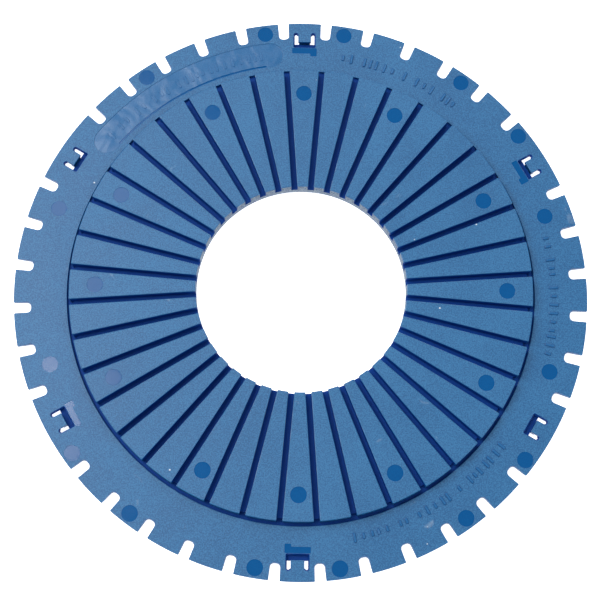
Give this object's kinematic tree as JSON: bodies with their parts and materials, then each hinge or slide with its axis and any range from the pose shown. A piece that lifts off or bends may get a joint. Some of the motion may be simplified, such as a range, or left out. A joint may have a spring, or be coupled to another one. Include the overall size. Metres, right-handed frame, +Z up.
{
  "type": "slotted ring disc",
  "caption": "Thin round disc with a large centre hole, a raised ring of wedges with narrow radial slots, a notched flange and snap tabs that clip its layers together.",
  "frame": {"origin": "centre of the underside, on the axis of the centre hole", "axes": "+Z up through the disc's thickness; +Y towards the middle of the first snap tab; +X to the right"},
  "size_m": [0.2, 0.2, 0.0082],
  "materials": {
    "disc_blue": "fine matte grain",
    "ring_blue": "fine matte grain",
    "plate_blue": "fine matte grain"
  },
  "bodies": {
    "back_plate": {"back_plate": "plate_blue"},
    "flange_ring": {"flange_ring": "ring_blue"},
    "slotted_disc": {"slotted_disc": "disc_blue"},
    "snap_tab_1": {"snap_tab_1": "ring_blue"},
    "snap_tab_2": {"snap_tab_2": "ring_blue"},
    "snap_tab_3": {"snap_tab_3": "ring_blue"},
    "snap_tab_4": {"snap_tab_4": "ring_blue"},
    "snap_tab_5": {"snap_tab_5": "ring_blue"},
    "snap_tab_6": {"snap_tab_6": "ring_blue"}
  },
  "joints": [
    {"name": "ring_lift", "type": "slide", "parent": "back_plate", "child": "flange_ring", "axis": [0, 0, 1], "range_m": [0, 0.024], "deforming": ["snap_tab_1", "snap_tab_2", "snap_tab_3", "snap_tab_4", "snap_tab_5", "snap_tab_6"]},
    {"name": "disc_lift", "type": "slide", "parent": "back_plate", "child": "slotted_disc", "axis": [0, 0, 1], "range_m": [0, 0.012]},
    {"name": "tab_1_flex", "type": "hinge", "parent": "flange_ring", "child": "snap_tab_1", "pos_m": [0, 0.0963, 0.0034], "axis": [1, 0, 0], "range_deg": [0, 12], "stiffness_Nm_per_rad": 0.02},
    {"name": "tab_2_flex", "type": "hinge", "parent": "flange_ring", "child": "snap_tab_2", "pos_m": [0.0834, 0.04815, 0.0034], "axis": [0.5, -0.866, 0], "range_deg": [0, 12], "stiffness_Nm_per_rad": 0.02},
    {"name": "tab_3_flex", "type": "hinge", "parent": "flange_ring", "child": "snap_tab_3", "pos_m": [0.0834, -0.04815, 0.0034], "axis": [-0.5, -0.866, 0], "range_deg": [0, 12], "stiffness_Nm_per_rad": 0.02},
    {"name": "tab_4_flex", "type": "hinge", "parent": "flange_ring", "child": "snap_tab_4", "pos_m": [0, -0.0963, 0.0034], "axis": [-1, 0, 0], "range_deg": [0, 12], "stiffness_Nm_per_rad": 0.02},
    {"name": "tab_5_flex", "type": "hinge", "parent": "flange_ring", "child": "snap_tab_5", "pos_m": [-0.0834, -0.04815, 0.0034], "axis": [-0.5, 0.866, 0], "range_deg": [0, 12], "stiffness_Nm_per_rad": 0.02},
    {"name": "tab_6_flex", "type": "hinge", "parent": "flange_ring", "child": "snap_tab_6", "pos_m": [-0.0834, 0.04815, 0.0034], "axis": [0.5, 0.866, 0], "range_deg": [0, 12], "stiffness_Nm_per_rad": 0.02}
  ],
  "couplings": [
    {"joint": "disc_lift", "follows": "ring_lift", "ratio": 0.5}
  ]
}
